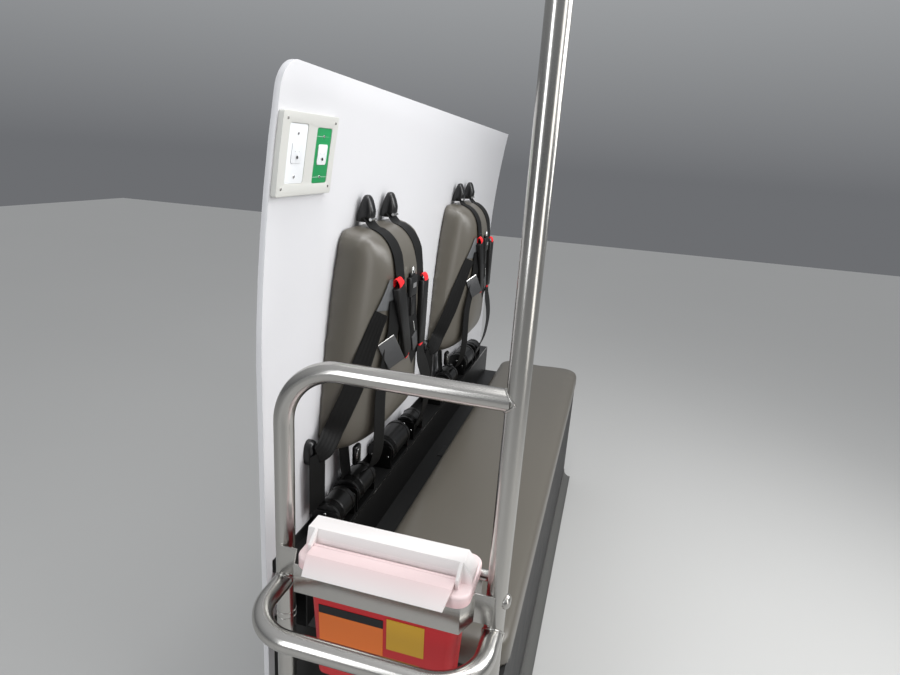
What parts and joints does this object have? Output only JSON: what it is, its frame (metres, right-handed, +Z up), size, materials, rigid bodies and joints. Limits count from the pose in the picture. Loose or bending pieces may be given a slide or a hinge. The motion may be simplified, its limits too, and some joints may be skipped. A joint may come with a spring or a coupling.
{
  "type": "ambulance squad bench station with head-end guard rail",
  "caption": "Van ambulance bench station: cushioned storage bench, wall panel with harness seats, and a steel guard rail that holds a sharps container.",
  "frame": {"origin": "centre of the stanchion's floor flange, at floor level", "axes": "+X towards the aisle, +Y along the bench away from the guard rail, +Z up"},
  "size_m": [0.473, 1.8979, 1.88],
  "materials": {
    "stainless": "satin",
    "wall_white": "semi-gloss laminate",
    "outlet_grey": "satin",
    "plate_white": "satin",
    "plate_green": "satin",
    "cabinet_black": "fine grain",
    "kick_grey": "matt",
    "rail_black": "satin powder coat",
    "vinyl_taupe": "upholstery vinyl",
    "webbing_black": "ribbed weave",
    "flap_grey": "matt",
    "buckle_black": "satin",
    "guide_black": "gloss",
    "release_red": "satin",
    "retractor_black": "satin",
    "bright_steel": "polished",
    "hinge_steel": "satin",
    "sharps_red": "moulded",
    "sharps_white": "moulded, slightly translucent",
    "label_orange": "printed film",
    "label_black": "printed film",
    "label_yellow": "printed film"
  },
  "bodies": {
    "station": {"wall_panel": "wall_white", "outlet_box": "outlet_grey", "outlet_plate_white": "plate_white", "outlet_plate_green": "plate_green", "outlet_sockets": "plate_white", "base_floor_board": "cabinet_black", "base_front_panel": "cabinet_black", "base_back_panel": "cabinet_black", "base_head_end": "cabinet_black", "base_foot_end": "cabinet_black", "base_top_deck": "cabinet_black", "kick_strip": "kick_grey", "belt_rail": "rail_black", "retractor_spools": "retractor_black", "retractor_brackets": "retractor_black", "backrest_boards": "cabinet_black", "backrest_pad_near": "vinyl_taupe", "backrest_pad_far": "vinyl_taupe", "shoulder_guides": "guide_black", "guide_bars": "bright_steel", "shoulder_webbing": "webbing_black", "buckle_sleeves": "buckle_black", "release_loops": "release_red", "release_buttons": "release_red", "latch_tongues": "bright_steel", "lower_guides": "guide_black", "lap_webbing": "webbing_black", "adjuster_flaps": "flap_grey", "slack_webbing": "webbing_black", "stanchion": "stainless", "guard_rail_tube": "stainless", "guard_hoop": "stainless", "stanchion_cap": "stainless", "floor_flanges": "stainless", "ceiling_flange": "stainless", "rail_standoffs": "stainless", "bracket_band": "stainless", "rear_bar": "stainless", "hanger_plate": "stainless", "lid_hinge_fixed": "hinge_steel"},
    "bench_lid": {"lid_board": "cabinet_black", "bench_cushion": "vinyl_taupe", "lid_hinge_moving": "hinge_steel"},
    "sharps_container": {"container_body": "sharps_red", "container_lid": "sharps_white", "label_orange": "label_orange", "label_header": "label_black", "label_yellow": "label_yellow"},
    "drop_tray": {"drop_tray": "sharps_white"}
  },
  "joints": [
    {"name": "lid_hinge", "type": "hinge", "parent": "station", "child": "bench_lid", "pos_m": [-0.289, 0.8125, 0.414], "axis": [0, -1, 0], "range_deg": [0, 60]},
    {"name": "container_lift", "type": "slide", "parent": "station", "child": "sharps_container", "axis": [0, 0, 1], "range_m": [0, 0.222]},
    {"name": "tray_hinge", "type": "hinge", "parent": "sharps_container", "child": "drop_tray", "pos_m": [-0.1715, -0.033, 0.662], "axis": [-1, 0, 0], "range_deg": [0, 60]}
  ]
}
